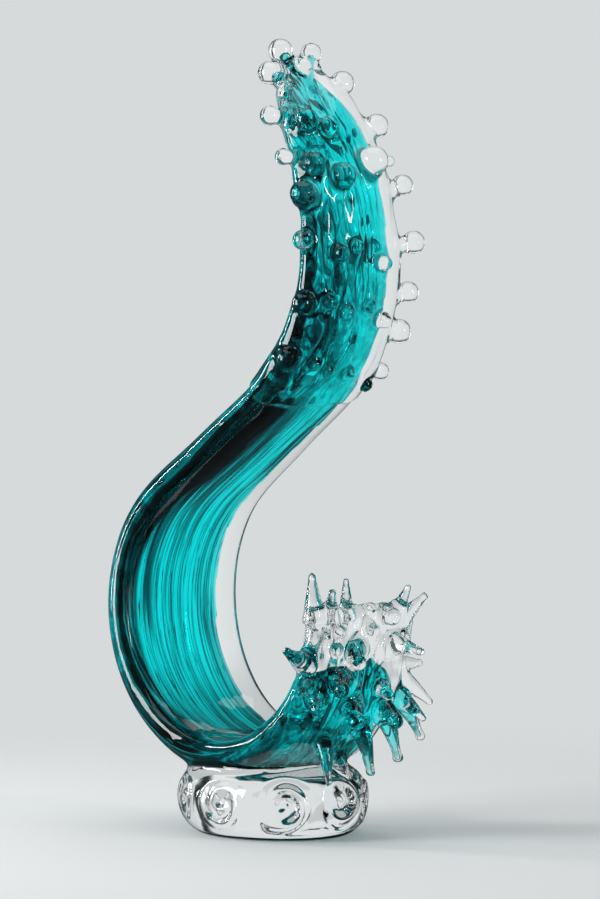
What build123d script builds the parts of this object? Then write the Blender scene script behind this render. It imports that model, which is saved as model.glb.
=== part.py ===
"""A glass wave sculpture: a cased glass ribbon that rises from a clear foot, with drops and horns fused on."""

import math
import os

from build123d import *

os.makedirs("parts", exist_ok=True)

# Driving dimensions, in millimetres and degrees.
# +Z is up, +X runs towards the splash and +Y across the ribbon. The origin is the middle of the foot's flat face.

# Centre line of the ribbon: a bowl, a straight neck, a shoulder, a plume and a straight tip.
saddle_x = -8.0
saddle_z = 51.0
splash_radius = 88.0
bowl_radius = 96.0
lip_turn = 99.0
core_turn = 74.0
back_turn = 146.0
neck_length = 100.0
shoulder_radius = 118.0
plume_radius = 146.0
plume_lean = 37.0
tip_length = 42.0

# Width across the ribbon and thickness through it, at named places along the centre line.
lip_width = 80.0
lip_thickness = 13.0
splash_width = 88.0
splash_thickness = 24.0
saddle_width = 100.0
saddle_thickness = 28.0
bowl_width = 107.0
bowl_thickness = 28.0
neck_width = 95.0
neck_thickness = 24.0
plume_width = 81.0
plume_thickness = 24.0
crest_width = 64.0
crest_thickness = 21.0
tip_width = 20.0
tip_thickness = 13.0
bowl_dish = 8.0
squareness = 2.7

# The coloured core inside the clear casing.
core_near_margin = 5.0
core_far_margin = 16.0
core_cover = 4.5
core_tip_gap = 12.0
core_round = 22.0
core_edge_width = 0.75
core_edge_thickness = 0.2
core_draw = 70.0
core_point = 0.2

# The clear foot.
foot_flat_x = 48.0
foot_flat_y = 40.0
foot_belly_x = 68.0
foot_belly_y = 58.0
foot_belly_z = 24.0
foot_top_x = 47.0
foot_top_y = 39.0
foot_height = 46.0
foot_dents = 9
dent_radius = 15.0
dent_depth = 5.5

# Drops and horns are pushed this far into the ribbon while they are hot.
root_depth = 4.0

# Shared shapes of the drops: how far a head is undercut, its least stem, the flare of its foot and a bead's rise.
drop_undercut = 0.62
drop_least_stem = 0.8
drop_flare = 1.2
bead_rise = 0.6

# Shared shapes of the spikes: how much wider the round end is than the stem behind it, and how the sides draw in.
horn_bead = 1.2
horn_taper = 1.1

station_step = 26.0
section_points = 12

# A round bit is the same whichever side its seam is on, so its seam is put on the first of these sides where the bit
# is cut cleanly. A bit that is cut has lost its root, so less than this share of it is left.
seam_sides = (Vector(0.3, 1, 0.2), Vector(1, 0.2, 0.4), Vector(-0.2, 0.5, 1))
cut_share = 0.985


# Lengths along the centre line, from the lip's upper edge to the tip.
core_start = splash_radius * math.radians(lip_turn - core_turn)
saddle_place = splash_radius * math.radians(lip_turn)
back_place = saddle_place + bowl_radius * math.radians(90)
bowl_end = saddle_place + bowl_radius * math.radians(back_turn)
neck_end = bowl_end + neck_length
shoulder_end = neck_end + shoulder_radius * math.radians(back_turn - 90)
plume_end = shoulder_end + plume_radius * math.radians(plume_lean)
line_end = plume_end + tip_length
core_end = line_end - core_tip_gap


def along_arc(x, z, heading, radius, after):
    """The point where an arc reaches a new heading; a positive radius bends to the left of the way ahead."""
    begin, end = math.radians(heading), math.radians(after)
    return x + radius * (math.sin(end) - math.sin(begin)), z - radius * (math.cos(end) - math.cos(begin)), after


def centre_line(place):
    """X, Z and heading in degrees at a length along the centre line."""
    at = along_arc(saddle_x, saddle_z, 180, -splash_radius, 180 + lip_turn)
    runs = (
        (saddle_place, -splash_radius),
        (bowl_end, -bowl_radius),
        (neck_end, None),
        (shoulder_end, shoulder_radius),
        (plume_end, plume_radius),
        (line_end, None),
    )
    begun = 0.0
    for end, radius in runs:
        length = min(place, end) - begun
        x, z, heading = at
        if radius is None:
            ahead = math.radians(heading)
            at = (x + length * math.cos(ahead), z + length * math.sin(ahead), heading)
        else:
            at = along_arc(x, z, heading, radius, heading + math.degrees(length / radius))
        if place <= end:
            break
        begun = end
    return at


def eased(place, knots):
    """A smooth value through (place, value) knots, with the slope at each knot taken from its neighbours."""
    if place <= knots[0][0]:
        return knots[0][1]
    if place >= knots[-1][0]:
        return knots[-1][1]
    i = max(k for k in range(len(knots) - 1) if knots[k][0] <= place)

    def slope(k):
        before, after = knots[max(k - 1, 0)], knots[min(k + 1, len(knots) - 1)]
        return (after[1] - before[1]) / (after[0] - before[0])

    (p, a), (q, b) = knots[i], knots[i + 1]
    t = (place - p) / (q - p)
    rise = (q - p) * ((t**3 - 2 * t**2 + t) * slope(i) + (t**3 - t**2) * slope(i + 1))
    return a * (1 + 2 * t) * (1 - t) ** 2 + b * t**2 * (3 - 2 * t) + rise


neck_place = (bowl_end + neck_end) / 2
width_knots = (
    (0, lip_width),
    (core_start, splash_width),
    (saddle_place, saddle_width),
    (back_place, bowl_width),
    (neck_place, neck_width),
    (shoulder_end, plume_width),
    (plume_end, crest_width),
    (line_end, tip_width),
)
thickness_knots = (
    (0, lip_thickness),
    (core_start, splash_thickness),
    (saddle_place, saddle_thickness),
    (back_place, bowl_thickness),
    (neck_place, neck_thickness),
    (shoulder_end, plume_thickness),
    (plume_end, crest_thickness),
    (line_end, tip_thickness),
)
dish_knots = ((0, 0), (saddle_place, bowl_dish), (back_place, bowl_dish), (neck_end, 0), (line_end, 0))


def rounding(share):
    """The height of a quarter circle, from 0 at its edge to 1 where it levels out."""
    return math.sqrt(1 - (1 - min(1.0, max(0.0, share))) ** 2)


def core_fullness(place):
    """How wide and how thick the core is against its full size: a rounded edge at the splash, drawn out at the tip."""
    edge = rounding((place - core_start) / core_round)
    drawn = core_point + (1 - core_point) * rounding((core_end - place) / core_draw)
    wide = core_edge_width + (1 - core_edge_width) * edge
    thick = core_edge_thickness + (1 - core_edge_thickness) * edge
    return wide * drawn, thick * drawn


def outline_point(place, angle, core=False):
    """A point of the ribbon's section, across and towards the inside of the bowl.

    Angle 0 is the far edge, 90 the inner face, 180 the near edge and 270 the outer face.
    """
    width = eased(place, width_knots)
    thickness = eased(place, thickness_knots)
    across, through, middle = width / 2, thickness / 2, 0.0
    if core:
        taper = width / bowl_width
        wide, thick = core_fullness(place)
        across = (across - (core_near_margin + core_far_margin) / 2 * taper) * wide
        middle = (core_near_margin - core_far_margin) / 2 * taper
        through = (through - core_cover * thickness / bowl_thickness) * thick
    c, s = math.cos(math.radians(angle)), math.sin(math.radians(angle))
    x = middle + across * math.copysign(abs(c) ** (2 / squareness), c)
    y = through * math.copysign(abs(s) ** (2 / squareness), s)
    return x, y + eased(place, dish_knots) * ((2 * x / width) ** 2 - 0.5)


def section_plane(place):
    """The plane across the ribbon at a length along its centre line, with y towards the inside of the bowl."""
    x, z, heading = centre_line(place)
    ahead = math.radians(heading)
    return Plane(origin=(x, 0, z), x_dir=(0, 1, 0), z_dir=(-math.cos(ahead), 0, -math.sin(ahead)))


def stations(start, end):
    """Places from start to end, evenly spaced in each run of the centre line and about one station step apart."""
    run_ends = (saddle_place, bowl_end, neck_end, shoulder_end, plume_end)
    stops = [start] + [stop for stop in run_ends if start < stop < end] + [end]
    places = [start]
    for near, far in zip(stops, stops[1:]):
        count = max(2, round((far - near) / station_step))
        places += [near + (far - near) * i / count for i in range(1, count + 1)]
    return places


def core_stations():
    """Places along the core, closer together where its two ends are rounded."""
    end_shares = (0, 0.08, 0.3, 0.6)
    splash_end = [core_start + core_round * share for share in end_shares]
    tip_end = [core_end - core_draw * share for share in reversed(end_shares)]
    return splash_end + stations(core_start + core_round, core_end - core_draw) + tip_end


def ribbon(places, core=False):
    """The ribbon, or its core, lofted through its sections at places on the centre line."""
    angles = [360 * i / section_points for i in range(section_points)]
    steps = [i / section_points for i in range(section_points + 1)]
    with BuildPart() as made:
        for place in places:
            with BuildSketch(section_plane(place)):
                with BuildLine():
                    points = [Vector(*outline_point(place, a, core)) for a in angles]
                    add(Edge.make_spline(points, periodic=True, parameters=steps))
                make_face()
        loft()
    return made.part


def seat(place, angle, lean=0.0, side_lean=0.0):
    """A point on the ribbon's surface, and the direction that a piece set there points in.

    Lean tips it towards the tip of the plume, and side lean across the ribbon.
    """
    step = 1.0
    here = outline_point(place, angle)
    (ax, ay), (bx, by) = outline_point(place, angle - step), outline_point(place, angle + step)
    plane = section_plane(place)
    flat = math.hypot(bx - ax, by - ay)
    out = plane.x_dir * ((by - ay) / flat) + plane.y_dir * ((ax - bx) / flat)
    ahead = plane.z_dir * -1
    out = out + ahead * math.tan(math.radians(lean)) + plane.x_dir * math.tan(math.radians(side_lean))
    return plane.from_local_coords(here), out.normalized()


def boxes_meet(p, q):
    """True where two bounding boxes overlap."""
    return all(
        low <= high
        for low, high in (
            (p.min.X, q.max.X), (q.min.X, p.max.X),
            (p.min.Y, q.max.Y), (q.min.Y, p.max.Y),
            (p.min.Z, q.max.Z), (q.min.Z, p.max.Z),
        )
    )


def drop(place, angle, head, rise, lean, seam_side):
    """A round drop on a short flared stem: head is its radius and rise its centre's height over the ribbon."""
    at, out = seat(place, angle, lean)
    dip = min(drop_undercut, (rise - drop_least_stem) / head)
    stem = head * math.sqrt(1 - dip**2)
    stem_top = rise - head * dip
    across = out.cross(seam_side).normalized()
    with BuildPart() as made:
        with BuildSketch(Plane(origin=at, x_dir=across, z_dir=across.cross(out))):
            with BuildLine():
                Line((0, rise + head), (0, -root_depth))
                Line((0, -root_depth), (stem + drop_flare, -root_depth))
                Spline((stem + drop_flare, -root_depth), (stem, stem_top), tangents=((-1, 1.5), (0.2, 1)))
                ThreePointArc((stem, stem_top), (head, rise), (0, rise + head))
            make_face()
        revolve(axis=Axis(at, out))
    return made.part


def horn(place, angle, lean, side_lean, length, root, end, droop, seam_side):
    """A pulled spike: round sections from its root's radius to its end's, bent downwards by its droop."""
    at, out = seat(place, angle, lean, side_lean)
    down = Vector(0, 0, -1)
    aside = out.cross(seam_side).normalized()
    with BuildPart() as made:
        for part_way in (-root_depth / length, 0.3, 0.65, 1.0):
            ahead = (out * length + down * (2 * droop * part_way)).normalized()
            at_way = at + out * (length * part_way) + down * (droop * part_way**2)
            radius = end + (root - end) * (1 - part_way) ** horn_taper
            with BuildSketch(Plane(origin=at_way, x_dir=aside - ahead * aside.dot(ahead), z_dir=ahead)):
                Circle(radius)
        loft()
        with Locations(at + out * length + down * droop):
            Sphere(horn_bead * end)
    return made.part


def trim(made):
    """Cut the part being built back to the glass that is already there."""
    reach = made.part.bounding_box()
    for box, solid in glass:
        if made.part.solids() and boxes_meet(reach, box):
            add(solid, mode=Mode.SUBTRACT)


def seated(name, shape, sizes):
    """Make bits of one shape, trim them where they meet the glass that is there, and write them as one node."""
    for seam_side in seam_sides:
        solids = [shape(*bit, seam_side) for bit in sizes]
        with BuildPart() as made:
            for solid in solids:
                add(solid)
            trim(made)
        bits = made.part.solids().sort_by(SortBy.VOLUME)[-len(solids):]
        whole = sorted(solid.volume for solid in solids)
        if len(bits) == len(solids) and all(bit.volume < cut_share * v for bit, v in zip(bits, whole)):
            break
    with BuildPart() as kept:
        for bit in bits:
            add(bit)
    kept.part.label = name
    export_step(kept.part, f"parts/{name}.step")
    glass.append((kept.part.bounding_box(), kept.part))


# The clear and coloured layers of the wave.
whole_wave = ribbon(stations(core_start, line_end))
core_solid = ribbon(core_stations(), core=True)
lip_solid = ribbon(stations(0, core_start))
glass = [(solid.bounding_box(), solid) for solid in (whole_wave, lip_solid)]

with BuildPart() as wave_core:
    add(core_solid)
wave_core.part.label = "wave_core"
export_step(wave_core.part, "parts/wave_core.step")

with BuildPart() as wave_casing:
    add(whole_wave)
    add(core_solid, mode=Mode.SUBTRACT)
wave_casing.part.label = "wave_casing"
export_step(wave_casing.part, "parts/wave_casing.step")

with BuildPart() as splash_lip:
    add(lip_solid)
splash_lip.part.label = "splash_lip"
export_step(splash_lip.part, "parts/splash_lip.step")

# Drops on the plume: distance from the tip, angle round the section, head radius, rise and lean.
drops = {
    "tip_drop_top": (3, 150, 8, 7, 66),
    "tip_drop_near": (13, 185, 7.5, 7, 40),
    "tip_drop_far": (4, 40, 7, 5.5, 60),
    "tip_drop_front": (15, 100, 5.5, 3.5, 30),
    "far_edge_drop_1": (24, 12, 8, 6, 30),
    "far_edge_drop_2": (58, 12, 8, 6, 25),
    "far_edge_drop_3": (80, 12, 4, 3.5, 0),
    "far_edge_drop_4": (99, 10, 7, 9, 20),
    "far_edge_drop_5": (134, 10, 7.5, 11, 12),
    "far_edge_drop_6": (164, 10, 7, 8, 10),
    "far_edge_drop_7": (188, 12, 8, 6.5, 0),
    "far_edge_drop_8": (218, 12, 6, 5, 0),
    "near_edge_drop_1": (45, 185, 6.5, 8, 15),
    "near_edge_drop_2": (76, 182, 5.5, 7, 10),
    "near_edge_drop_3": (104, 165, 8.5, 5, 30),
    "near_edge_drop_4": (130, 170, 6.5, 5, 0),
    "near_edge_drop_5": (168, 160, 7, 5, 0),
    "near_edge_drop_6": (204, 155, 7, 4, 0),
    "face_drop_1": (57, 133, 7.5, 4.5, 15),
    "face_drop_2": (63, 103, 7, 3.8, 30),
    "face_drop_3": (84, 138, 7, 4, 0),
    "face_drop_4": (94, 102, 8, 4.4, 20),
    "face_drop_5": (86, 72, 9.5, 5, 30),
    "back_drop_1": (60, 265, 7, 4.5, 15),
    "back_drop_2": (100, 240, 6.5, 4.5, 10),
    "back_drop_3": (138, 295, 7, 4.5, 0),
    "back_drop_4": (176, 255, 6, 4, 0),
}
for name, (from_tip, angle, head, rise, lean) in drops.items():
    seated(name, drop, [(line_end - from_tip, angle, head, rise, lean)])

# Rows of small beads across the plume: distance from the tip, angle round the section and head radius.
bead_rows = {
    "upper_bead_row": ((138, 112, 5.5), (134, 95, 4.5), (144, 72, 5)),
    "middle_bead_row": ((166, 120, 4.5), (172, 98, 5), (169, 82, 4), (178, 62, 5)),
    "lower_bead_row": ((206, 112, 4), (210, 97, 4), (213, 82, 4.5), (223, 48, 5)),
}
for name, beads in bead_rows.items():
    seated(name, drop, [(line_end - s, angle, head, bead_rise * head, 0) for s, angle, head in beads])

# Spikes of the splash: distance from the lip's edge, angle round the section, lean, side lean, length, the radius of
# the root and of the end, and droop.
spikes = {
    "lip_spike_1": (5, 200, -76, -10, 26, 7.5, 2.2, 0),
    "lip_spike_2": (5, 232, -70, 0, 15, 6, 2.2, 0),
    "lip_spike_3": (5, 255, -74, -30, 22, 5.5, 1.8, 0),
    "lip_spike_4": (6, 312, -60, 10, 18, 6, 2, 0),
    "lip_knob": (7, 292, 0, -25, 10, 7.5, 5, 1),
    "far_spike_1": (9, 335, -42, 0, 19, 6, 2.2, 0),
    "far_spike_2": (25, 12, -22, 0, 22, 7.5, 2.4, 0),
    "far_spike_3": (24, 298, 5, 15, 19, 7.5, 2.4, 1),
    "far_spike_4": (42, 5, 5, 0, 22, 7, 2.4, 0),
    "far_spike_5": (50, 342, 22, 15, 22, 7.5, 2.2, 4),
    "far_spike_6": (56, 318, 12, 10, 21, 7, 2.4, 4),
    "drip_1": (62, 330, 0, 0, 18, 7, 2.8, 16),
    "drip_2": (68, 300, 0, 0, 15, 7.5, 3, 19),
    "drip_3": (74, 277, 0, -5, 15, 7.5, 3, 19),
    "drip_4": (84, 258, 0, -10, 15, 7, 2.6, 15),
    "drip_5": (98, 277, 0, 0, 13, 5.5, 2.2, 4),
    "near_spike_1": (34, 186, -18, 0, 22, 8, 2.4, -3),
    "near_spike_2": (47, 202, 0, -10, 17, 7, 2.4, 0),
    "face_spike_1": (27, 260, 10, -25, 12, 8, 4.5, 2),
    "face_spike_2": (43, 250, 0, -35, 15, 8, 4.5, 1),
    "face_spike_3": (59, 268, 0, -30, 16, 8, 4.5, 2),
    "face_spike_4": (60, 292, 0, -10, 16, 7.5, 4.5, 2),
    "face_spike_5": (54, 228, 5, -20, 12, 7, 4, 2),
    "face_spike_6": (47, 281, 0, -10, 11, 6, 3.5, 1),
}
for name, spike in spikes.items():
    seated(name, horn, [spike])

# Small beads among the spikes: distance from the lip's edge, angle round the section, head radius and lean.
splash_beads = ((15, 243, 4, 0), (25, 238, 4, 0), (15, 272, 4.5, 0), (4, 274, 3.5, -40), (3, 100, 4, -50))
seated("splash_beads", drop, [(s, angle, head, bead_rise * head, lean) for s, angle, head, lean in splash_beads])


def foot_reach(height, flat, belly, top):
    """How far the foot reaches out at a height: rounded from its flat up to its belly and on to its top."""
    if height < foot_belly_z:
        return flat + (belly - flat) * math.sqrt(1 - (1 - height / foot_belly_z) ** 2)
    along = (height - foot_belly_z) / (foot_height - foot_belly_z)
    return top + (belly - top) * math.sqrt(1 - along**2)


# The clear foot, with dents pressed round its belly and a saddle where the wave was set down on it.
with BuildPart() as base_block:
    for share in (0, 0.05, 0.2, 0.5, 0.75, 0.92, 1):
        height = foot_height * share
        with BuildSketch(Plane.XY.offset(height)):
            Ellipse(
                foot_reach(height, foot_flat_x, foot_belly_x, foot_top_x),
                foot_reach(height, foot_flat_y, foot_belly_y, foot_top_y),
            )
    loft()
    for k in range(foot_dents):
        turn = 2 * math.pi * k / foot_dents
        out = Vector(foot_belly_x * math.cos(turn), foot_belly_y * math.sin(turn), 0)
        away = out + out.normalized() * (dent_radius - dent_depth) + Vector(0, 0, foot_belly_z)
        with Locations(away):
            Sphere(dent_radius, mode=Mode.SUBTRACT)
    trim(base_block)
base_block.part.label = "base_block"
export_step(base_block.part, "parts/base_block.step")
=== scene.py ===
# %% [markdown]
# # A glass wave
# The sculpture is one lump of hot-worked glass: a ribbon of teal glass cased in clear glass, set on a
# clear foot, with clear drops and spikes laid on while everything was soft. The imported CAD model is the
# frame, and nothing here moves it. This lesson dresses it: first the camera and the studio, then the skin
# of the fused glass, then the colour.

# %% Load the frame
import math

import bpy
import numpy as np
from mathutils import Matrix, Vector, noise
from mathutils.bvhtree import BVHTree


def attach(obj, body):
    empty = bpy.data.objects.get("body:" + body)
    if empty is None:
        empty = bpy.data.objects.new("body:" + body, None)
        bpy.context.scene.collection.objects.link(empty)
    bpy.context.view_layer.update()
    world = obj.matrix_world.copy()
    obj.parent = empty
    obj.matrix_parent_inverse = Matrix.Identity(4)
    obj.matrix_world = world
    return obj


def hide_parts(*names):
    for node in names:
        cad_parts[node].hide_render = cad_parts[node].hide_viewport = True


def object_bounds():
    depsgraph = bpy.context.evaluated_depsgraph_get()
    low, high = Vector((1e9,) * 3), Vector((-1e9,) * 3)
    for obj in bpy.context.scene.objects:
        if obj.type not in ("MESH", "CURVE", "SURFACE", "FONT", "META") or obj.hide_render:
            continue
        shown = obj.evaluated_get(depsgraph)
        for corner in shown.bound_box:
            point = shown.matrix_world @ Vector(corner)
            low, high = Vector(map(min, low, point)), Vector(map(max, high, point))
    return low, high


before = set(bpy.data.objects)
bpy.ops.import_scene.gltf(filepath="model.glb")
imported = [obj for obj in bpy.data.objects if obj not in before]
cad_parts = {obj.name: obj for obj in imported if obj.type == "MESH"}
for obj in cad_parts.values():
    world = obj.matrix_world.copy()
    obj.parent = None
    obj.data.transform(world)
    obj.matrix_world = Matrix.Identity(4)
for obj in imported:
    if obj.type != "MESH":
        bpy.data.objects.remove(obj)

cad_low, cad_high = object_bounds()
print("CAD box", [round(v, 4) for v in cad_low], [round(v, 4) for v in cad_high])

scene = bpy.context.scene
scene.view_settings.view_transform = "Standard"

# %% [markdown]
# ## The camera
# A product photograph of a tall thing is taken from far off with a long lens, so that upright lines stay
# upright. The camera stands a little over three metres away, somewhat above the middle of the wave, and
# looks slightly down. It is placed by its distance and its turn about the wave, because those are what a
# photographer sets.

# %% Camera
view_turn = math.radians(48)
view_distance = 3.30
view_height = 0.400
view_drop = math.radians(2.6)
view_aside = 0.0175
long_lens = 203.3

to_right = Vector((math.cos(view_turn), math.sin(view_turn), 0))
away = Vector((-math.sin(view_turn), math.cos(view_turn), 0))
camera_data = bpy.data.cameras.new("Camera")
camera_data.lens = long_lens
camera = bpy.data.objects.new("Camera", camera_data)
camera.location = to_right * view_aside - away * view_distance + Vector((0, 0, view_height))
camera.rotation_euler = (math.radians(90) - view_drop, 0, view_turn)
scene.collection.objects.link(camera)
scene.camera = camera
print("camera at", [round(v, 3) for v in camera.location])

# %% [markdown]
# ## Node helpers
# The world, the floor and both kinds of glass are shader node trees, and the same few nodes come back in
# each: a sum, a smooth step, a blend of two colours and the question how a ray got here. Each could be
# set up socket by socket where it is used. A few short functions do it once, and take plain values or
# other sockets alike.

# %% Node helpers
def fill_socket(tree, socket, value):
    """Link another socket to this one, or put a plain value on it."""
    if isinstance(value, bpy.types.NodeSocket):
        tree.links.new(value, socket)
    else:
        socket.default_value = value


def sum_node(tree, operation, *values, clamp=False):
    """A Math node."""
    node = tree.nodes.new("ShaderNodeMath")
    node.operation = operation
    node.use_clamp = clamp
    for socket, value in zip(node.inputs, values):
        fill_socket(tree, socket, value)
    return node.outputs[0]


def smooth_step(tree, value, low, high, start=0.0, end=1.0):
    """A Map Range node that eases from start to end while the value goes from low to high."""
    node = tree.nodes.new("ShaderNodeMapRange")
    node.interpolation_type = "SMOOTHSTEP"
    titles = ("Value", "From Min", "From Max", "To Min", "To Max")
    for title, given_value in zip(titles, (value, low, high, start, end)):
        fill_socket(tree, node.inputs[title], given_value)
    return node.outputs["Result"]


def blend(tree, share, first, second):
    """A Mix node that goes from the first colour to the second."""
    node = tree.nodes.new("ShaderNodeMix")
    node.data_type = "RGBA"
    for title, value in zip(("Factor", "A", "B"), (share, first, second)):
        fill_socket(tree, node.inputs[title], value)
    return node.outputs["Result"]


def mirrored_only(tree, rays):
    """1 for a ray that was mirrored and not bent: a bent ray counts as glossy too."""
    return sum_node(tree, "SUBTRACT", rays["Is Glossy Ray"], rays["Is Transmission Ray"], clamp=True)


print("node helpers ready")

# %% [markdown]
# ## The studio
# Clear glass has no colour of its own: it shows what is behind and around it. It is photographed in front
# of a pale field, with darker gaps round about that draw its edges as dark lines. The world gives both: a
# plain pale field to the camera, and a ring of soft pale panels under a dark ceiling, with narrow dark
# gaps between them, to the rays that the glass bends. What the polished surface mirrors is a dim room, so
# that the colour stays deep and only the lamps show as white streaks.

# %% World
field_colour = (0.675, 0.700, 0.708, 1)
panel_colour = (0.78, 0.80, 0.81, 1)
gap_colour = (0.02, 0.03, 0.033, 1)
room_colour = (0.055, 0.070, 0.075, 1)
panel_count = 4
panel_turn = math.radians(15)
panel_edge = (0.0, 0.05)
ceiling_edge = (0.46, 0.66)
ceiling_share = 0.12

world = bpy.data.worlds.new("Studio")
scene.world = world
world.use_nodes = True
tree = world.node_tree
tree.nodes.clear()
coordinates = tree.nodes.new("ShaderNodeTexCoord")
direction = tree.nodes.new("ShaderNodeSeparateXYZ")
tree.links.new(coordinates.outputs["Generated"], direction.inputs[0])
bearing = sum_node(tree, "ARCTAN2", direction.outputs["Y"], direction.outputs["X"])
behind = math.atan2(away.y, away.x)
turned = sum_node(tree, "MULTIPLY", sum_node(tree, "SUBTRACT", bearing, behind + panel_turn), panel_count)
round_ring = sum_node(tree, "MULTIPLY_ADD", sum_node(tree, "COSINE", turned), 0.5, 0.5)
panels = smooth_step(tree, round_ring, *panel_edge)
below_ceiling = smooth_step(tree, direction.outputs["Z"], *ceiling_edge, 1.0, ceiling_share)
around = blend(tree, sum_node(tree, "MULTIPLY", panels, below_ceiling), gap_colour, panel_colour)
rays = tree.nodes.new("ShaderNodeLightPath").outputs
around = blend(tree, mirrored_only(tree, rays), around, room_colour)
background = tree.nodes.new("ShaderNodeBackground")
tree.links.new(blend(tree, rays["Is Camera Ray"], around, field_colour), background.inputs["Color"])
output = tree.nodes.new("ShaderNodeOutputWorld")
tree.links.new(background.outputs[0], output.inputs["Surface"])
print("world with", panel_count, "panels")

# %% [markdown]
# ## The floor
# A pale floor catches the soft shadow. A large plane would end in a hard horizon behind the wave, so the
# floor is a disc that fades out towards its rim, where the pale field takes over. Mirrored in the
# polished glass it is as dim as the room, so that it lays no grey veil over the faces that lean down to
# it. Seen through the glass it is plainly pale, because the light that a clear foot gathers under itself
# is lost in the render.

# %% Floor
floor_reach = 1.6
floor_corners = 96
floor_fade = (0.22, 0.75)
floor_colour = (0.74, 0.755, 0.76, 1)
floor_roughness = 0.9
mirrored_floor = (0.055, 0.065, 0.07, 1)
gathered_light = (0.60, 0.62, 0.625, 1)
unlit = (0, 0, 0, 1)

bpy.ops.mesh.primitive_circle_add(vertices=floor_corners, radius=floor_reach, fill_type="NGON")
floor = bpy.context.object
floor.name = "Floor"
floor_finish = bpy.data.materials.new("Pale floor")
floor_finish.use_nodes = True
floor_finish.cycles.emission_sampling = "NONE"
tree = floor_finish.node_tree
shader = tree.nodes["Principled BSDF"]
shader.inputs["Roughness"].default_value = floor_roughness
shader.inputs["Specular IOR Level"].default_value = 0.0
shader.inputs["Emission Color"].default_value = gathered_light
rays = tree.nodes.new("ShaderNodeLightPath").outputs
seen = blend(tree, mirrored_only(tree, rays), floor_colour, mirrored_floor)
tree.links.new(blend(tree, rays["Is Transmission Ray"], seen, unlit), shader.inputs["Base Color"])
tree.links.new(rays["Is Transmission Ray"], shader.inputs["Emission Strength"])
coordinates = tree.nodes.new("ShaderNodeTexCoord")
distance = tree.nodes.new("ShaderNodeVectorMath")
distance.operation = "LENGTH"
tree.links.new(coordinates.outputs["Object"], distance.inputs[0])
tree.links.new(smooth_step(tree, distance.outputs["Value"], *floor_fade, 1.0, 0.0), shader.inputs["Alpha"])
floor.data.materials.append(floor_finish)
print("floor disc of", floor_reach, "m")

# %% [markdown]
# ## The lamps
# A broad soft lamp at the left, like a window, draws the long pale streak down the rim of the bowl, and a
# narrow one behind it a thinner line beside that. The glass mirrors the window but doesn't show it
# through itself, because from behind it would burn out the clear margin. A narrow lamp at the right gives
# the ridges of the plume and the splash their thin glints, and a broad faint one overhead lights the
# floor.

# %% Lamps
middle_height = (cad_low.z + cad_high.z) / 2


def soft_lamp(name, aside, ahead, height, wide, tall, watts):
    """A rectangular lamp, right of the wave and before it as the camera sees it, aimed at its middle."""
    lamp_data = bpy.data.lights.new(name, "AREA")
    lamp_data.shape = "RECTANGLE"
    lamp_data.size, lamp_data.size_y = wide, tall
    lamp_data.energy = watts
    lamp = bpy.data.objects.new(name, lamp_data)
    lamp.location = to_right * aside - away * ahead + Vector((0, 0, height))
    aim = Vector((0, 0, middle_height)) - lamp.location
    lamp.rotation_euler = aim.to_track_quat("-Z", "Y").to_euler()
    scene.collection.objects.link(lamp)
    return lamp


window = soft_lamp("Left window", aside=-1.73, ahead=0.63, height=0.55, wide=0.9, tall=1.3, watts=40)
window.visible_transmission = False
soft_lamp("Back strip", aside=-1.5, ahead=-0.5, height=0.60, wide=0.12, tall=1.2, watts=12)
soft_lamp("Right strip", aside=1.5, ahead=1.0, height=0.7, wide=0.10, tall=0.9, watts=6)
soft_lamp("Overhead", aside=0.0, ahead=-0.2, height=2.0, wide=2.0, tall=2.0, watts=14)

# %% [markdown]
# ## Fused glass
# In the CAD model each drop, spike and layer is its own solid. In the real thing they melted together:
# inside clear glass no border shows, and outside each joint is a soft fillet. The solids could be shown
# as they are, but then every inner face would bend the light once more. So the clear pieces are joined
# and wrapped in one voxel skin, which drops every inner face.

# %% Skin round several solids
def joined(forms):
    """Several forms, each with its points and triangles, as one."""
    counts = [len(points) for points, corners in forms]
    starts = np.cumsum([0] + counts[:-1])
    points = np.concatenate([form[0] for form in forms])
    corners = np.concatenate([form[1] + start for form, start in zip(forms, starts)])
    return points, corners


def node_mesh(names):
    """The points and triangles of several CAD nodes together."""
    forms = []
    for name in names:
        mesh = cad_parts[name].data
        mesh.calc_loop_triangles()
        at = np.empty(len(mesh.vertices) * 3, np.float32)
        mesh.vertices.foreach_get("co", at)
        corners = np.empty(len(mesh.loop_triangles) * 3, np.int32)
        mesh.loop_triangles.foreach_get("vertices", corners)
        forms.append((at.reshape(-1, 3), corners.reshape(-1, 3)))
    return joined(forms)


def voxel_skin(title, points, corners, grain):
    """An object with one closed skin round the given triangles, in quads about one grain wide."""
    mesh = bpy.data.meshes.new(title)
    mesh.from_pydata(points.tolist(), [], corners.tolist())
    skin = bpy.data.objects.new(title, mesh)
    scene.collection.objects.link(skin)
    remesh = skin.modifiers.new("Voxel skin", "REMESH")
    remesh.mode = "VOXEL"
    remesh.voxel_size = grain
    wrapped = bpy.data.meshes.new_from_object(skin.evaluated_get(bpy.context.evaluated_depsgraph_get()))
    skin.modifiers.clear()
    skin.data = wrapped
    bpy.data.meshes.remove(mesh)
    return skin


core_node = "wave_core"
clear_nodes = sorted(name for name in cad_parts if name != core_node)
skin_grain = 0.0016
glass_body = voxel_skin("clear_glass_body", *node_mesh(clear_nodes + [core_node]), skin_grain)
print("voxel skin round", len(clear_nodes), "clear nodes and the core")

# %% [markdown]
# ## Melting the skin
# The voxel steps are relaxed. Plain averaging would shrink the thin tips, so each inward step is followed
# by an outward one, which smooths the steps and keeps the volume. Then the joints are melted: the same
# averaging, but only where it moves the surface outwards, which fills the creases round each drop and
# leaves every tip as it was. Where glass was worked longest, as in the dents of the foot, plain averaging
# softens it further.

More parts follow.
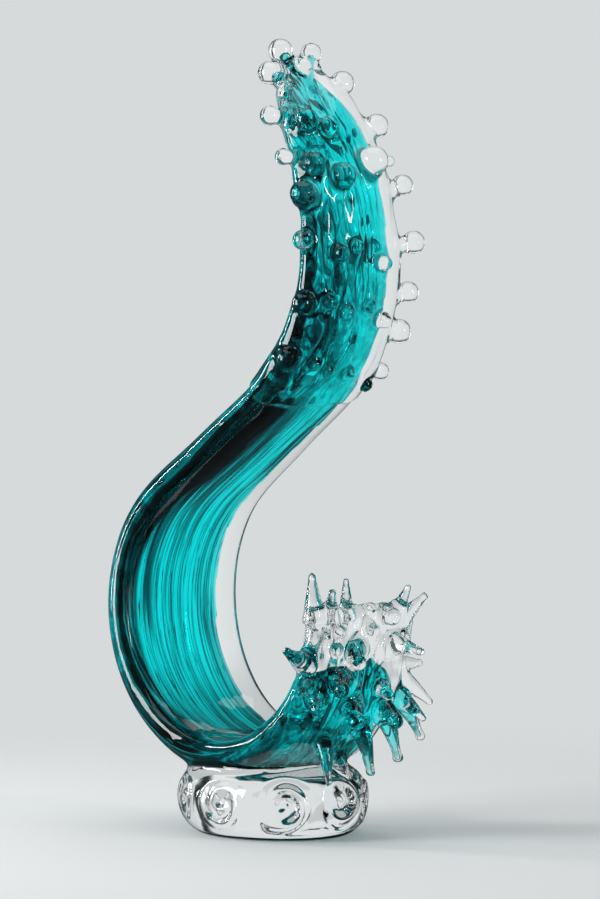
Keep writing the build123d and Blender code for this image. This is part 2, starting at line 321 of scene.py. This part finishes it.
# %% Relax, melt and soften
def vertex_places(mesh):
    """The mesh's vertices as an array of points."""
    at = np.empty(len(mesh.vertices) * 3, np.float32)
    mesh.vertices.foreach_get("co", at)
    return at.reshape(-1, 3).astype(float)


def vertex_normals(mesh):
    """The mesh's vertex normals as an array."""
    out = np.empty(len(mesh.vertices) * 3, np.float32)
    mesh.vertex_normals.foreach_get("vector", out)
    return out.reshape(-1, 3).astype(float)


def set_places(mesh, at):
    """Move the mesh's vertices to the given points and shade it smooth."""
    mesh.vertices.foreach_set("co", at.astype(np.float32).ravel())
    mesh.polygons.foreach_set("use_smooth", np.ones(len(mesh.polygons), bool))
    mesh.update()


def neighbour_pull(mesh, at):
    """From each vertex to the middle of its neighbours."""
    ends = np.empty(len(mesh.edges) * 2, np.int32)
    mesh.edges.foreach_get("vertices", ends)
    first, second = ends.reshape(-1, 2).T
    total = len(mesh.vertices)
    degree = np.bincount(first, minlength=total) + np.bincount(second, minlength=total)
    pull = np.empty_like(at)
    for axis in range(3):
        near = np.bincount(first, at[second, axis], total) + np.bincount(second, at[first, axis], total)
        pull[:, axis] = near / degree - at[:, axis]
    return pull


def relax(mesh, rounds, inward=0.55, outward=-0.58):
    """Smooth the mesh without shrinking it."""
    at = vertex_places(mesh)
    for _ in range(rounds):
        at += inward * neighbour_pull(mesh, at)
        at += outward * neighbour_pull(mesh, at)
    set_places(mesh, at)


def melt(mesh, rounds, strength=0.7):
    """Fill the creases: smooth the mesh only where that moves it outwards."""
    for _ in range(rounds):
        at, out = vertex_places(mesh), vertex_normals(mesh)
        rise = np.maximum((neighbour_pull(mesh, at) * out).sum(1), 0)
        set_places(mesh, at + strength * rise[:, None] * out)


def soften(mesh, rounds, where, strength=0.5):
    """Plain averaging, as far as the weight on each vertex says."""
    at = vertex_places(mesh)
    for _ in range(rounds):
        at += strength * where[:, None] * neighbour_pull(mesh, at)
    set_places(mesh, at)


relax_rounds = 8
melt_rounds = 24
foot_rounds = 10
dent_heights = (0.002, 0.008, 0.040, 0.052)

relax(glass_body.data, relax_rounds)
melt(glass_body.data, melt_rounds)
in_dents = np.interp(vertex_places(glass_body.data)[:, 2], dent_heights, (0, 1, 1, 0))
soften(glass_body.data, foot_rounds, in_dents)
print("clear glass", len(glass_body.data.polygons), "faces")

# %% [markdown]
# ## Places on the ribbon
# Streaks in drawn glass run along the ribbon, so a finish needs to know how far along and how far across
# it each point lies. The ribbon's centre line is a chain of arcs and straights, each with a radius or a
# length in metres and a turn in degrees. It is walked in short steps, and each vertex takes the length of
# the nearest step. The line's own sizes are those of the solid it runs through.

# %% Centre line of the ribbon
saddle = (-0.008, 0.051)
lip_turn, back_turn, plume_lean = 99, 146, 37
runs = (
    (0.088, -lip_turn),
    (0.096, -back_turn),
    (0.100, 0),
    (0.118, back_turn - 90),
    (0.146, plume_lean),
    (0.042, 0),
)
line_step = 0.001


def centre_line():
    """Points and headings along the ribbon, from the lip to the tip, and the length where each run ends."""
    headings, ends, heading, length = [], [], math.radians(180 + lip_turn), 0.0
    for size, turn in runs:
        run = abs(math.radians(turn)) * size if turn else size
        steps = round(run / line_step)
        headings += [heading + math.radians(turn) * (i + 0.5) / steps for i in range(steps)]
        heading += math.radians(turn)
        length += steps * line_step
        ends.append(length)
    headings = np.array(headings)
    line = np.cumsum(np.stack([np.cos(headings), np.sin(headings)], 1) * line_step, 0)
    line += np.array(saddle) - line[round(ends[0] / line_step) - 1]
    return line, headings, ends


line, headings, run_ends = centre_line()
saddle_end, bowl_end, neck_end, shoulder_end, plume_end, tip_end = run_ends
print("centre line", round(tip_end, 3), "m, of which the bowl", round(bowl_end, 3), "m")

# %% Places and zones
search_step = 4
search_batch = 4000


def heading_at(steps):
    """The way the ribbon runs, in the plane it curves in, at the given steps of its line."""
    return np.stack([np.cos(headings[steps]), np.sin(headings[steps])], 1)


def ribbon_places(at):
    """How far each point lies along and across the ribbon, and through it to the inside of the bowl."""
    nearest = np.empty(len(at), int)
    for start in range(0, len(at), search_batch):
        batch = at[start:start + search_batch]
        gaps = (batch[:, 0:1] - line[None, ::search_step, 0]) ** 2
        gaps += (batch[:, 2:3] - line[None, ::search_step, 1]) ** 2
        nearest[start:start + search_batch] = gaps.argmin(1) * search_step
    off = at[:, [0, 2]] - line[nearest]
    ahead = heading_at(nearest)
    inward = np.stack([ahead[:, 1], -ahead[:, 0]], 1)
    return nearest * line_step + (off * ahead).sum(1), at[:, 1], (off * inward).sum(1)


def ease(low, high, value):
    """A smooth step from 0 at low to 1 at high."""
    share = np.clip((value - low) / (high - low), 0, 1)
    return share * share * (3 - 2 * share)


def soft_noise(places, wavelengths, seed):
    """Smooth noise from -1 to 1 at each place, with a wavelength of its own for each direction."""
    scaled = np.stack(places, 1) / np.array(wavelengths) + seed
    return np.array([noise.noise(Vector(place)) for place in scaled])


def line_noise(lengths, wavelength, seed):
    """Smooth noise that changes along one direction."""
    return soft_noise((lengths, lengths, lengths), (wavelength, 1, 1), seed)


at = vertex_places(glass_body.data)
along, across, through = ribbon_places(at)
plume_start = (neck_end - 0.01, neck_end + 0.05)
splash_end = (0.09, 0.14)
foot_top = (0.050, 0.040)
foot_below = (-0.013, -0.018)
on_plume = ease(*plume_start, along)
on_splash = 1 - ease(*splash_end, along)
on_foot = ease(*foot_top, at[:, 2]) * ease(*foot_below, through)
on_drawn = (1 - on_plume) * (1 - on_splash) * (1 - on_foot)
print("vertices on the drawn part", int((on_drawn > 0.5).sum()))

# %% [markdown]
# ## Lumps, strands and cords
# A second gather of glass was laid over the plume, so its surface is lumpy, with round strands that ran
# down it and creases between them, and its lower end shows as a scalloped edge across the neck. The
# splash was pulled about while soft and is lumpy too, and its lip is creased. Between them the ribbon was
# drawn out, which leaves faint cords along it. Each is a small move of the skin along its own normal,
# from smooth noise that is measured along and across the ribbon. A noise without its sign has sharp
# valleys, which are the creases. The drops and spikes stand off the ribbon and stay smooth.

# %% Lumps, strands and cords
drawn_rounds = 12
lump_depth = 0.0020
lump_sizes = (0.030, 0.013, 0.016)
strand_depth = 0.0032
strand_sizes = (0.046, 0.011, 0.016)
crinkle_depth = 0.0030
crinkle_sizes = (0.017, 0.008, 0.012)
crinkle_end = (0.030, 0.060)
crease_level = 0.2
cord_depth = 0.00018
cord_sizes = (0.120, 0.0065, 0.02)
splash_share = 0.6
stand_off = (0.001, 0.004)

soften(glass_body.data, drawn_rounds, on_drawn)
at = vertex_places(glass_body.data)
out = vertex_normals(glass_body.data)
ribbon_points, ribbon_corners = node_mesh(["wave_casing", "splash_lip"])
ribbon_skin = BVHTree.FromPolygons(ribbon_points.tolist(), ribbon_corners.tolist())
off_ribbon = np.array([ribbon_skin.find_nearest(Vector(place))[3] for place in at])
on_ribbon = 1 - ease(*stand_off, off_ribbon)
skin_places = (along, across, through)
lumps = soft_noise(skin_places, lump_sizes, seed=3.0)
strands = np.abs(soft_noise(skin_places, strand_sizes, seed=31.0)) - crease_level
crinkles = np.abs(soft_noise(skin_places, crinkle_sizes, seed=21.0)) - crease_level
cords = soft_noise(skin_places, cord_sizes, seed=11.0)
lumpy = np.maximum(on_plume, splash_share * on_splash) * (1 - on_foot)
move = (lump_depth * lumps + strand_depth * strands) * lumpy
move += cord_depth * cords * on_drawn
move += crinkle_depth * crinkles * (1 - ease(*crinkle_end, along))
print("lumps and cords of up to", round(1000 * np.abs(move * on_ribbon).max(), 2), "mm")

# %% Scalloped edge of the second gather
gather_rise = 0.0016
gather_start = 0.008
gather_step = (0, 0.004)
gather_end = (0.03, 0.09)
scallop_depth = 0.007
scallop_width = 0.006
scallop_change = 0.03

scallops = scallop_depth * np.cos(across / scallop_width) * line_noise(across, scallop_change, seed=5.0)
past_edge = along - (neck_end + gather_start + scallops)
gather = ease(*gather_step, past_edge) * (1 - ease(*gather_end, past_edge)) * (1 - on_foot)
move += gather_rise * gather
move *= on_ribbon
print("second gather on", int((gather > 0.5).sum()), "vertices")

# %% [markdown]
# ## Ripples in the foot
# Round each pressed dent of the foot the soft glass was twisted. A ripple that winds into the dent stands
# for that. It is stronger on one side than on the other, so that it looks like a comma, and it turns the
# other way in every third dent, because no two were twisted alike.

# %% Ripples in the foot
foot_belly = (0.068, 0.058, 0.024)
foot_dents = 9
twist_depth = 0.0014
ripple_step = 0.0020
ripple_edge = (0.021, 0.012)
ripple_middle = (0, 0.004)
dent_side = 0.03
comma_share = 0.40
comma_turn = 2.4

for k in range(foot_dents):
    turn = 2 * math.pi * k / foot_dents
    dent = np.array((foot_belly[0] * math.cos(turn), foot_belly[1] * math.sin(turn), foot_belly[2]))
    beside = (at - dent) @ np.array((-math.sin(turn), math.cos(turn), 0))
    above = at[:, 2] - dent[2]
    reach = np.hypot(beside, above)
    facing = (at[:, 0] * math.cos(turn) + at[:, 1] * math.sin(turn)) > dent_side
    angle = np.arctan2(above, beside)
    comma = 1 - comma_share + comma_share * np.cos(angle - comma_turn * k)
    hand = 1 if k % 3 else -1
    ripple = comma * np.cos(hand * angle + reach / ripple_step)
    ripple *= ease(*ripple_edge, reach) * ease(*ripple_middle, reach)
    move += twist_depth * ripple * facing * on_foot
at = np.clip(at + move[:, None] * out, np.array(cad_low), np.array(cad_high))
set_places(glass_body.data, at)
print("skin moved by up to", round(1000 * np.abs(move).max(), 2), "mm")

# %% [markdown]
# ## The coloured core
# The colour runs out into the drips under the splash and four of the spikes on its face, because they
# were pulled from the ribbon itself. Each of those gets a thinner copy of itself, run back into the core.
# At the tip three fingers of colour reach into the drops, each a chain of small copies of its drop. A
# voxel skin joins them all, as it did for the clear glass.

# %% Colour in the spikes
coloured_spikes = [name for name in clear_nodes if name.startswith("drip_")]
coloured_spikes += ["face_spike_2", "face_spike_3", "face_spike_4", "face_spike_5"]
thread_grain = 0.0011
thread_rounds = 4
thread_cover = 0.0019
thread_shifts = (0, 0.003, 0.006)

core_forms = [node_mesh([core_node])]
for name in coloured_spikes:
    spike = voxel_skin(name + "_thread", *node_mesh([name]), thread_grain)
    relax(spike.data, thread_rounds)
    thin = vertex_places(spike.data) - thread_cover * vertex_normals(spike.data)
    spike.data.calc_loop_triangles()
    faces = np.array([triangle.vertices[:] for triangle in spike.data.loop_triangles])
    heading = headings[round(ribbon_places(thin)[0].mean() / line_step)]
    inward = np.array((math.sin(heading), 0, -math.cos(heading)))
    core_forms += [(thin + shift * inward, faces) for shift in thread_shifts]
    bpy.data.objects.remove(spike)
print("colour in", len(coloured_spikes), "spikes")

# %% Colour in the drops at the tip
finger_drops = ("tip_drop_near", "tip_drop_top", "tip_drop_far")
finger_size = 0.38
finger_links = 9
finger_reach = 0.9
tip_back = 0.022

tip_ahead = np.array((math.cos(headings[-1]), 0, math.sin(headings[-1])))
core_tip = np.array((line[-1][0], 0, line[-1][1])) - tip_back * tip_ahead
for name in finger_drops:
    drop, faces = node_mesh([name])
    middle = (drop.min(0) + drop.max(0)) / 2
    for share in np.linspace(0, finger_reach, finger_links):
        link = finger_size * (drop - middle) + core_tip + share * (middle - core_tip)
        core_forms.append((link, faces))
print("fingers of colour in", len(finger_drops), "drops")

# %% Skin of the core
core_grain = 0.0015
core_rounds = 16
drawn_start = (0.11, 0.16)
drawn_end = (neck_end, neck_end + 0.05)

core_body = voxel_skin("teal_core", *joined(core_forms), core_grain)
relax(core_body.data, relax_rounds)
along = ribbon_places(vertex_places(core_body.data))[0]
soften(core_body.data, core_rounds, ease(*drawn_start, along) * (1 - ease(*drawn_end, along)))
print("teal core", len(core_body.data.polygons), "faces")

# %% [markdown]
# ## Torn edges of the colour
# The colour ends in torn steps along the far edge, where it was thinnest, and in uneven lobes at the
# splash. To find the edges, the ribbon is cut into short slices, and each vertex learns its share of the
# width of its slice. The steps are a saw-tooth pattern of uneven length, and the lobes are noise across
# the ribbon.

# %% Torn edges of the colour
slice_length = 0.01
least_width = 1e-6
torn_step = 0.034
torn_depth = 0.0028
torn_change = 0.04
torn_start = (0.05, 0.10)
torn_end = (plume_end - 0.02, plume_end)
torn_shares = (0.72, 0.98)
tooth_back = (1.0, 0.86)
uneven_shift = 0.030
uneven_change = 0.055

at = vertex_places(core_body.data)
along, across, through = ribbon_places(at)
slices = np.clip((along / slice_length).astype(int), 0, round(tip_end / slice_length))
near_edge = np.full(slices.max() + 1, np.inf)
far_edge = np.full(slices.max() + 1, -np.inf)
np.minimum.at(near_edge, slices, across)
np.maximum.at(far_edge, slices, across)
width_share = (across - near_edge[slices]) / np.maximum(far_edge[slices] - near_edge[slices], least_width)
uneven = along + uneven_shift * line_noise(along, uneven_change, seed=2.0)
torn = torn_depth * (0.5 + 0.5 * line_noise(along, torn_change, seed=9.0))
torn *= ease(*torn_start, along) * (1 - ease(*torn_end, along)) * ease(*torn_shares, width_share)
tooth = uneven / torn_step % 1.0
at[:, 1] -= torn * tooth * ease(*tooth_back, tooth)
print("far edge torn back by up to", 1000 * torn_depth, "mm")

# %% Lobes at the splash
lobe_depth = 0.009
lobe_sizes = (0.017, 1, 0.03)
lobe_end = (0.045, 0.085)
lobe_through = (-0.016, -0.010)

lobes = soft_noise((across, across, through), lobe_sizes, seed=7.0)
pulled = lobe_depth * lobes * (1 - ease(*lobe_end, along)) * ease(*lobe_through, through)
nearest = np.clip((along / line_step).astype(int), 0, len(line) - 1)
at[:, [0, 2]] += pulled[:, None] * heading_at(nearest)
set_places(core_body.data, at)
print("lobes of up to", round(1000 * np.abs(pulled).max(), 1), "mm")

# %% [markdown]
# ## Depth of colour and painted shade
# The core's darkness here is painted shade in its colour, which stands for the light that the thick ribbon
# and its rounded near edge bend away: a dark band runs from low on the back of the bowl up through the
# neck, the near edge is dark where it passes in front of the bowl, the rim is darker, and the bowl is
# darker low down. Paler cords run through it low down, and they fray the edge of the band. All of this is
# one number of painted shade on each vertex, worked out from the places on the ribbon, because shade that
# follows the form can't be given by one value for the whole core.

# %% Dark band, near edge and rim
shade_cord_sizes = (0.11, 0.004, 0.004)
band_widths = (0.10, 0.38, 0.30)
band_widening = (saddle_end + 0.10, neck_end - 0.02)
band_near = (0.03, 0.07)
band_fade = (0.05, 0.03)
band_start = (saddle_end + 0.03, saddle_end + 0.13)
band_end = (neck_end - 0.01, neck_end + 0.025)
under_shares = (0.25, 0.45)
under_start = (0.08, 0.13)
under_end = (saddle_end + 0.04, saddle_end + 0.10)
rim_shares = (0.03, 0.10)
rim_start = (0.06, 0.12)
rim_end = (neck_end, neck_end + 0.05)
low_start = (0.08, saddle_end)
low_end = (saddle_end + 0.02, saddle_end + 0.13)
cord_level = 0.72
cord_contrast = 2.0

# Painted shade: a dark band, a dark near edge, a darker rim and a darker low bowl, frayed by paler cords.
cord_noise = soft_noise((along, across, through), shade_cord_sizes, seed=15.0)
least, widening, wander = band_widths
band_reach = least + widening * ease(*band_widening, along) + wander * cord_noise
band_edge = (band_reach - band_fade[0], band_reach + band_fade[1])
band = ease(*band_near, width_share) * (1 - ease(*band_edge, width_share))
band *= ease(*band_start, along) * (1 - ease(*band_end, along))
under_shade = (1 - ease(*under_shares, width_share)) * ease(*under_start, along) * (1 - ease(*under_end, along))
rim = (1 - ease(*rim_shares, width_share)) * ease(*rim_start, along) * (1 - ease(*rim_end, along))
low = ease(*low_start, along) * (1 - ease(*low_end, along))
corded = np.clip(cord_level + cord_contrast * cord_noise, 0, 1)
# The band counted here is painted shade.
print("deep on", int((band > 0.5).sum()), "vertices of the band")

# %% [markdown]
# ## Painted shade rings under the drops
# Each drop that was pressed on gets a ring of painted shade in the core's colour under its edge, which
# stands for the dark outline that the drop's steep sides bend into view. A node of beads holds several
# solids, so they are told apart by walking from vertex to vertex along the edges, and each gives the
# middle and the size of one ring.

# %% Painted shade rings under the drops
ringed_drop_names = ("upper_bead", "middle_bead", "lower_bead", "face_drop", "near_edge_drop")
ring_inside = (0.25, 0.70)
ring_outside = (0.95, 1.35)


def solid_middles(name):
    """The middle and the size of each separate solid in a CAD node."""
    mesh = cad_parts[name].data
    neighbours = [[] for vertex in mesh.vertices]
    for edge in mesh.edges:
        first, second = edge.vertices
        neighbours[first].append(second)
        neighbours[second].append(first)
    places, left, found = vertex_places(mesh), set(range(len(mesh.vertices))), []
    while left:
        group, waiting = [], [left.pop()]
        while waiting:
            group.append(waiting.pop())
            fresh = left.intersection(neighbours[group[-1]])
            left -= fresh
            waiting += fresh
        low_corner, high_corner = places[group].min(0), places[group].max(0)
        found.append(((low_corner + high_corner) / 2, float((high_corner - low_corner).min())))
    return found


# Rings of painted shade in the core's colour, one under the edge of each drop and bead.
drop_ring_shade = np.zeros(len(at))
for name in clear_nodes:
    if not name.startswith(ringed_drop_names):
        continue
    for middle, size in solid_middles(name):
        drop_along, drop_across, drop_through = (values[0] for values in ribbon_places(middle[None, :]))
        reach = np.hypot(along - drop_along, across - drop_across) / (size / 2)
        ring = ease(*ring_inside, reach) * (1 - ease(*ring_outside, reach)) * (through * drop_through > 0)
        drop_ring_shade = np.maximum(drop_ring_shade, ring)
# The rings counted here are painted shade.
print("rings of thicker colour on", int((drop_ring_shade > 0.5).sum()), "vertices")

# %% [markdown]
# ## Drawn, swirled and marbled
# The finish also has to know how the glass was worked. From the bowl to the neck it was pulled straight.
# Above the neck the plume was turned over on itself, which swirled the colour low down on it. Higher up
# and at the splash it was pulled and turned at once, which marbled it. These are kept on the vertices
# too, with the places along and across the ribbon.

# %% Keep the numbers on the core
# The first three are the strengths of painted shade on the rim, low on the bowl and in the drop rings.
rim_shade_share, low_shade_share, ring_shade_share = 0.35, 0.6, 0.9
turned_start = (neck_end - 0.01, neck_end + 0.03)
swirl_end = (shoulder_end - 0.03, shoulder_end + 0.04)
swirl_shares = (0.35, 0.80)
swirl_loss_up, swirl_loss_far, swirl_on_rim = 0.8, 0.7, 0.8
straight_start = (0.06, 0.12)
straight_on_splash = 0.3
straight_loss = 0.85
marbled_start = (neck_end + 0.03, shoulder_end)
marbled_shares = (0.80, 0.95)
marbled_splash = (0.07, 0.11)


def keep_values(mesh, name, values):
    """Store one number for each vertex, for the finish to read."""
    mesh.attributes.new(name, "FLOAT", "POINT").data.foreach_set("value", values.astype(np.float32))


# The core's painted shade: the darkest of band, near edge, rim, low bowl and drop rings on each vertex.
painted_shade = np.max((band, under_shade * corded, rim_shade_share * rim, low_shade_share * low * corded, ring_shade_share * drop_ring_shade), 0)
turned_over = ease(*turned_start, along)
swirl = turned_over * (1 - swirl_loss_up * ease(*swirl_end, along))
swirl *= 1 - swirl_loss_far * ease(*swirl_shares, width_share)
straight = straight_on_splash + (1 - straight_on_splash) * ease(*straight_start, along)
straight *= 1 - straight_loss * turned_over
marbled = ease(*marbled_start, along) * (1 - ease(*marbled_shares, width_share))
keep_values(core_body.data, "along", along)
keep_values(core_body.data, "across", across)
keep_values(core_body.data, "painted_shade", np.clip(painted_shade, 0, 1))
keep_values(core_body.data, "swirl", np.maximum(swirl, swirl_on_rim * rim))
keep_values(core_body.data, "drawn", straight)
keep_values(core_body.data, "marbled", np.maximum(marbled, 1 - ease(*marbled_splash, along)))
print("kept on the core:", [a.name for a in core_body.data.attributes if a.data_type == "FLOAT"])

# %% [markdown]
# ## Clear glass
# Fire-polished glass is as smooth as glass gets, so its roughness is zero, and all its character comes
# from its form. Its index of refraction is that of soda-lime art glass. Seen along its surface the light
# has a long way to go through it, so a slight grey green gathers at every rim. The rim colour goes darker
# than that, and is partly painted shade: a dark outline that stands for the dark room the steep edges bend
# into view. An absorption in its depth could give the green too, but it would also dull the teal behind it.

# %% Clear glass finish
clear_colour = (0.985, 0.995, 0.995, 1)
# Dark grey green at the rims: partly the glass's own tint over a long path, partly painted shade.
edge_tint_and_shade_colour = (0.10, 0.17, 0.18, 1)
rim_facing = (0.70, 1.0)
glass_index = 1.5

clear_glass = bpy.data.materials.new("Clear glass")
clear_glass.use_nodes = True
tree = clear_glass.node_tree
shader = tree.nodes["Principled BSDF"]
shader.inputs["Roughness"].default_value = 0.0
shader.inputs["IOR"].default_value = glass_index
shader.inputs["Transmission Weight"].default_value = 1.0
rim_weight = tree.nodes.new("ShaderNodeLayerWeight")
edge_tint_and_shade_mask = smooth_step(tree, rim_weight.outputs["Facing"], *rim_facing)
# Towards the rims the colour goes dark: partly the glass's own tint, partly a painted dark outline.
tree.links.new(blend(tree, edge_tint_and_shade_mask, clear_colour, edge_tint_and_shade_colour), shader.inputs["Base Color"])
glass_body.data.materials.clear()
glass_body.data.materials.append(clear_glass)
print("clear glass with index", glass_index)

# %% [markdown]
# ## Streaks
# Cords of denser and thinner colour are drawn out along the ribbon as it is pulled. A noise pattern that
# is stretched along the ribbon gives them. It is a node group, so that each use of it has its own width
# and strength, and with more distortion it gives the swirls where the plume was turned over on itself.

# %% Streaks as a node group
streak_inputs = ("Streaks per metre", "Stretch", "Start", "End", "Seed", "Distortion", "Detail")
streak_roughness = 0.6

streaks = bpy.data.node_groups.new("Drawn streaks", "ShaderNodeTree")
for title in streak_inputs:
    streaks.interface.new_socket(title, in_out="INPUT", socket_type="NodeSocketFloat")
streaks.interface.new_socket("Mask", in_out="OUTPUT", socket_type="NodeSocketFloat")


def kept_value(tree, name):
    """A number that was stored on the vertices of the core."""
    node = tree.nodes.new("ShaderNodeAttribute")
    node.attribute_name = name
    return node.outputs["Fac"]


given = streaks.nodes.new("NodeGroupInput").outputs
made = streaks.nodes.new("NodeGroupOutput")
streak_across = sum_node(streaks, "MULTIPLY", kept_value(streaks, "across"), given["Streaks per metre"])
streak_along = sum_node(streaks, "MULTIPLY", kept_value(streaks, "along"), given["Streaks per metre"])
streak_along = sum_node(streaks, "MULTIPLY", streak_along, given["Stretch"])
pattern_place = streaks.nodes.new("ShaderNodeCombineXYZ")
for title, source in zip("XYZ", (streak_across, streak_along, given["Seed"])):
    streaks.links.new(source, pattern_place.inputs[title])
pattern = streaks.nodes.new("ShaderNodeTexNoise")
pattern.inputs["Scale"].default_value = 1.0
pattern.inputs["Roughness"].default_value = streak_roughness
for title in ("Distortion", "Detail"):
    streaks.links.new(given[title], pattern.inputs[title])
streaks.links.new(pattern_place.outputs[0], pattern.inputs["Vector"])
mask = smooth_step(streaks, pattern.outputs["Fac"], given["Start"], given["End"])
streaks.links.new(mask, made.inputs["Mask"])
print("streak group with", len(streaks.nodes), "nodes")

# %% [markdown]
# ## Teal glass
# The colour itself is in the depth of the glass, so it is an absorption: red is gone within a few
# millimetres, green and blue pass. The core sits inside clear glass of almost the same index, so its own
# index is only the small step between the two. The darker cords, swirls and veins, and last the painted
# shade of the dark band, near edge and rings, tint the light as it crosses the core's surface, each laid
# over the ones before it.

# %% Teal glass finish
core_index = 1.06
absorbed_colour = (0.0, 0.9875, 0.9895, 1)
absorption_density = 280
full_colour = (1.0, 1.0, 1.0, 1)
cord_colour = (0.03, 0.20, 0.22, 1)
dark_cord_colour = (0.002, 0.02, 0.024, 1)
# The near-black teal of the painted shade.
painted_shade_colour = (0.002, 0.034, 0.040, 1)

teal_glass = bpy.data.materials.new("Teal glass")
teal_glass.use_nodes = True
teal_tree = teal_glass.node_tree
shader = teal_tree.nodes["Principled BSDF"]
shader.inputs["Roughness"].default_value = 0.0
shader.inputs["IOR"].default_value = core_index
shader.inputs["Transmission Weight"].default_value = 1.0
absorption = teal_tree.nodes.new("ShaderNodeVolumeAbsorption")
absorption.inputs["Color"].default_value = absorbed_colour
absorption.inputs["Density"].default_value = absorption_density
teal_tree.links.new(absorption.outputs["Volume"], teal_tree.nodes["Material Output"].inputs["Volume"])
print("teal glass with index", core_index)

# %% Streaks in the teal glass
def laid_over(tint, colour, where, per_metre, stretch, start, end, seed, distortion=0.25, detail=3.0):
    """Lay streaks of a colour over the tint, as far as the kept number says."""
    node = teal_tree.nodes.new("ShaderNodeGroup")
    node.node_tree = streaks
    for title, value in zip(streak_inputs, (per_metre, stretch, start, end, seed, distortion, detail)):
        node.inputs[title].default_value = value
    share = sum_node(teal_tree, "MULTIPLY", node.outputs["Mask"], kept_value(teal_tree, where))
    return blend(teal_tree, share, tint, colour)


tint = laid_over(
    full_colour, cord_colour, "drawn", per_metre=300, stretch=0.014, start=0.53, end=0.62, seed=1.0,
)
tint = laid_over(
    tint, dark_cord_colour, "drawn", per_metre=110, stretch=0.03, start=0.55, end=0.66, seed=5.0,
)
tint = laid_over(
    tint, cord_colour, "drawn", per_metre=640, stretch=0.012, start=0.55, end=0.63, seed=9.0,
)
tint = laid_over(
    tint, dark_cord_colour, "drawn", per_metre=420, stretch=0.045, start=0.60, end=0.66, seed=13.0,
)
tint = laid_over(
    tint, dark_cord_colour, "swirl", per_metre=55, stretch=0.5, start=0.47, end=0.50, seed=3.0,
    distortion=2.6, detail=0.6,
)
tint = laid_over(
    tint, cord_colour, "swirl", per_metre=110, stretch=0.4, start=0.52, end=0.55, seed=17.0,
    distortion=3.2, detail=0.4,
)
tint = laid_over(
    tint, cord_colour, "marbled", per_metre=170, stretch=0.20, start=0.575, end=0.615, seed=21.0,
    distortion=1.6, detail=1.0,
)
tint = laid_over(
    tint, dark_cord_colour, "marbled", per_metre=120, stretch=0.22, start=0.61, end=0.635, seed=25.0,
    distortion=2.0, detail=0.6,
)
# Painted shade last: the core's colour goes to near black as far as the kept shade number says.
tint = blend(teal_tree, kept_value(teal_tree, "painted_shade"), tint, painted_shade_colour)
teal_tree.links.new(tint, shader.inputs["Base Color"])
core_body.data.materials.clear()
core_body.data.materials.append(teal_glass)
print("teal glass with", len(teal_tree.nodes), "nodes")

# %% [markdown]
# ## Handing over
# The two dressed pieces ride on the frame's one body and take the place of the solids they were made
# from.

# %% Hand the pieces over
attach(glass_body, "root")
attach(core_body, "root")
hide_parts(*clear_nodes)
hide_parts(core_node)
